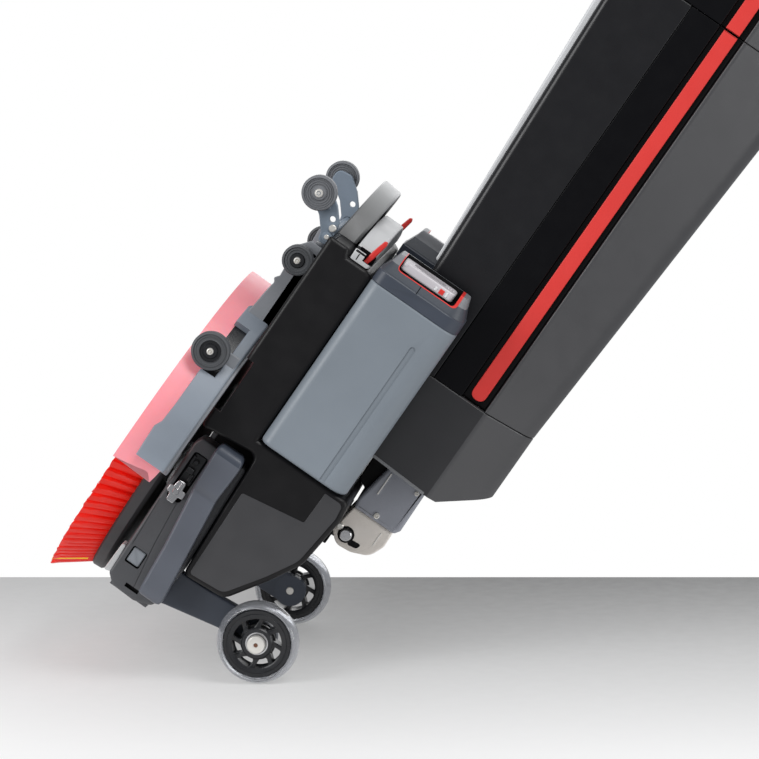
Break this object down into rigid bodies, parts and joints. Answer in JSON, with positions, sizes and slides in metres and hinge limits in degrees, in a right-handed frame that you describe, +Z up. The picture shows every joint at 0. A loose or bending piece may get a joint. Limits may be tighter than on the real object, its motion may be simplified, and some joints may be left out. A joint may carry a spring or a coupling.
{
  "type": "wet dry floor scrubber",
  "caption": "Compact upright wet dry floor scrubber with a disc brush, wrap-round squeegee, side batteries and a tank tower folded over the deck for transport.",
  "frame": {"origin": "centre of the machine's footprint box on the floor", "axes": "+X across the machine to the operator's left, -Y to the front, +Y along the folded tower to the handle, +Z up"},
  "size_m": [0.394, 1.18, 0.342],
  "materials": {
    "black_gloss": "semi-gloss moulded black",
    "dark_plastic": "matte moulded dark grey",
    "grey_plastic": "matte moulded grey",
    "slate_plastic": "satin slate grey",
    "steel": "turned steel",
    "motor_steel": "plated motor can",
    "cast_metal": "die cast",
    "dark_casting": "painted casting",
    "light_plastic": "satin light grey",
    "bristles": "red nylon bristle",
    "blue_grey_plastic": "satin blue grey",
    "squeegee_rubber": "translucent pink polyurethane",
    "cream_casting": "bead blasted casting",
    "slate_casting": "painted slate casting",
    "black_satin": "satin black",
    "red_plastic": "gloss red",
    "tube_metal": "powder coated tube",
    "grip_rubber": "soft grip",
    "display_glass": "dark cover glass",
    "clear_urethane": "clear polyurethane",
    "black_plastic": "moulded black nylon",
    "wheel_rubber": "dark rubber",
    "rear_wheel_rubber": "grey rubber",
    "latch_metal": "zinc plated",
    "button_grey": "satin grey",
    "battery_plastic": "satin blue grey",
    "battery_cap_plastic": "satin dark slate",
    "cell_metal": "sleeved cells",
    "handle_grey": "satin light grey"
  },
  "bodies": {
    "deck": {"hood": "black_gloss", "chassis_plate": "dark_plastic", "side_frame_right": "grey_plastic", "side_frame_left": "grey_plastic", "side_bar_right": "slate_plastic", "side_bar_left": "slate_plastic", "axle_pins": "steel", "wheel_bearings": "steel", "brush_motor": "motor_steel", "gearbox": "cast_metal", "rear_housing": "light_plastic", "rear_handle": "light_plastic", "neck_base": "dark_casting"},
    "brush": {"brush_block": "dark_plastic", "brush_bristles": "bristles", "drive_shaft": "steel"},
    "squeegee": {"squeegee_frame": "blue_grey_plastic", "squeegee_blade": "squeegee_rubber"},
    "rear_support": {"rear_arm": "blue_grey_plastic"},
    "tower": {"neck_casting": "cream_casting", "neck_block": "slate_casting", "tower_base": "black_satin", "vacuum_motor": "motor_steel", "back_panel": "light_plastic", "rear_tank": "black_satin", "tower_head": "black_satin", "handle_stem": "tube_metal", "handle_loop": "tube_metal", "handle_grips": "grip_rubber", "control_head": "dark_plastic", "display_panel": "display_glass"},
    "clean_tank": {"front_tank": "black_satin", "accent_stripes": "red_plastic"},
    "power_switch": {"power_button": "red_plastic"},
    "transport_wheel_right": {"transport_tyre_right": "clear_urethane", "transport_hub_right": "black_plastic"},
    "side_roller_right": {"side_wheel_right": "wheel_rubber"},
    "guide_roller_right": {"guide_wheel_right": "wheel_rubber"},
    "rear_roller_right": {"rear_wheel_right": "rear_wheel_rubber"},
    "toggle_clip_right": {"clip_right": "red_plastic"},
    "squeegee_latch_right": {"latch_right": "latch_metal"},
    "brush_release_right": {"release_button_right": "button_grey"},
    "battery_right": {"battery_case_right": "battery_plastic", "battery_cap_right": "battery_cap_plastic", "battery_cells_right": "cell_metal"},
    "battery_grip_right": {"battery_handle_right": "handle_grey"},
    "drive_lever_right": {"trigger_right": "red_plastic"},
    "transport_wheel_left": {"transport_tyre_left": "clear_urethane", "transport_hub_left": "black_plastic"},
    "side_roller_left": {"side_wheel_left": "wheel_rubber"},
    "guide_roller_left": {"guide_wheel_left": "wheel_rubber"},
    "rear_roller_left": {"rear_wheel_left": "rear_wheel_rubber"},
    "toggle_clip_left": {"clip_left": "red_plastic"},
    "squeegee_latch_left": {"latch_left": "latch_metal"},
    "brush_release_left": {"release_button_left": "button_grey"},
    "battery_left": {"battery_case_left": "battery_plastic", "battery_cap_left": "battery_cap_plastic", "battery_cells_left": "cell_metal"},
    "battery_grip_left": {"battery_handle_left": "handle_grey"},
    "drive_lever_left": {"trigger_left": "red_plastic"}
  },
  "joints": [
    {"name": "brush_spin", "type": "hinge", "parent": "deck", "child": "brush", "pos_m": [0, -0.4295, 0.04], "axis": [0, 0, 1], "continuous": true},
    {"name": "squeegee_lift", "type": "slide", "parent": "deck", "child": "squeegee", "axis": [0, 0, 1], "range_m": [0, 0.006]},
    {"name": "tower_tilt", "type": "hinge", "parent": "deck", "child": "tower", "pos_m": [0, -0.3915, 0.224], "axis": [1, 0, 0], "range_deg": [0, 92]},
    {"name": "clean_tank_lift", "type": "slide", "parent": "tower", "child": "clean_tank", "axis": [0, 0, 1], "range_m": [0, 0.12]},
    {"name": "rear_arm_swing", "type": "hinge", "parent": "deck", "child": "rear_support", "pos_m": [0, -0.1515, 0.046], "axis": [1, 0, 0], "range_deg": [-25, 0]},
    {"name": "power_press", "type": "slide", "parent": "tower", "child": "power_switch", "axis": [0, 0, 1], "range_m": [0, 0.0015], "stiffness_N_per_m": 400},
    {"name": "transport_wheel_right_spin", "type": "hinge", "parent": "deck", "child": "transport_wheel_right", "pos_m": [-0.14, -0.5045, 0.212], "axis": [1, 0, 0], "continuous": true},
    {"name": "side_wheel_right_spin", "type": "hinge", "parent": "squeegee", "child": "side_roller_right", "pos_m": [-0.16, -0.2945, 0.019], "axis": [1, 0, 0], "continuous": true},
    {"name": "guide_wheel_right_spin", "type": "hinge", "parent": "squeegee", "child": "guide_roller_right", "pos_m": [-0.105, -0.1845, 0.036], "axis": [1, 0, 0], "continuous": true},
    {"name": "rear_wheel_right_spin", "type": "hinge", "parent": "rear_support", "child": "rear_roller_right", "pos_m": [-0.105, -0.1195, 0.017], "axis": [1, 0, 0], "continuous": true},
    {"name": "clip_right_flip", "type": "hinge", "parent": "deck", "child": "toggle_clip_right", "pos_m": [-0.138, -0.1455, 0.0915], "axis": [-1, 0, 0], "range_deg": [0, 40]},
    {"name": "latch_right_turn", "type": "hinge", "parent": "deck", "child": "squeegee_latch_right", "pos_m": [-0.138, -0.4295, 0.066], "axis": [1, 0, 0], "range_deg": [0, 90]},
    {"name": "release_right_press", "type": "slide", "parent": "deck", "child": "brush_release_right", "axis": [1, 0, 0], "range_m": [0, 0.0018], "stiffness_N_per_m": 400},
    {"name": "battery_right_slide", "type": "slide", "parent": "deck", "child": "battery_right", "axis": [0, 1, 0], "range_m": [0, 0.15]},
    {"name": "battery_handle_right_swing", "type": "hinge", "parent": "battery_right", "child": "battery_grip_right", "pos_m": [-0.132, -0.123, 0.1245], "axis": [-1, 0, 0], "range_deg": [0, 60]},
    {"name": "trigger_right_squeeze", "type": "hinge", "parent": "tower", "child": "drive_lever_right", "pos_m": [-0.044, 0.4995, 0.236], "axis": [0, 0, -1], "range_deg": [0, 8], "stiffness_Nm_per_rad": 1},
    {"name": "transport_wheel_left_spin", "type": "hinge", "parent": "deck", "child": "transport_wheel_left", "pos_m": [0.14, -0.5045, 0.212], "axis": [1, 0, 0], "continuous": true},
    {"name": "side_wheel_left_spin", "type": "hinge", "parent": "squeegee", "child": "side_roller_left", "pos_m": [0.16, -0.2945, 0.019], "axis": [1, 0, 0], "continuous": true},
    {"name": "guide_wheel_left_spin", "type": "hinge", "parent": "squeegee", "child": "guide_roller_left", "pos_m": [0.105, -0.1845, 0.036], "axis": [1, 0, 0], "continuous": true},
    {"name": "rear_wheel_left_spin", "type": "hinge", "parent": "rear_support", "child": "rear_roller_left", "pos_m": [0.105, -0.1195, 0.017], "axis": [1, 0, 0], "continuous": true},
    {"name": "clip_left_flip", "type": "hinge", "parent": "deck", "child": "toggle_clip_left", "pos_m": [0.138, -0.1455, 0.0915], "axis": [-1, 0, 0], "range_deg": [0, 40]},
    {"name": "latch_left_turn", "type": "hinge", "parent": "deck", "child": "squeegee_latch_left", "pos_m": [0.138, -0.4295, 0.066], "axis": [1, 0, 0], "range_deg": [0, 90]},
    {"name": "release_left_press", "type": "slide", "parent": "deck", "child": "brush_release_left", "axis": [-1, 0, 0], "range_m": [0, 0.0018], "stiffness_N_per_m": 400},
    {"name": "battery_left_slide", "type": "slide", "parent": "deck", "child": "battery_left", "axis": [0, 1, 0], "range_m": [0, 0.15]},
    {"name": "battery_handle_left_swing", "type": "hinge", "parent": "battery_left", "child": "battery_grip_left", "pos_m": [0.132, -0.123, 0.1245], "axis": [-1, 0, 0], "range_deg": [0, 60]},
    {"name": "trigger_left_squeeze", "type": "hinge", "parent": "tower", "child": "drive_lever_left", "pos_m": [0.044, 0.4995, 0.236], "axis": [0, 0, 1], "range_deg": [0, 8], "stiffness_Nm_per_rad": 1}
  ]
}
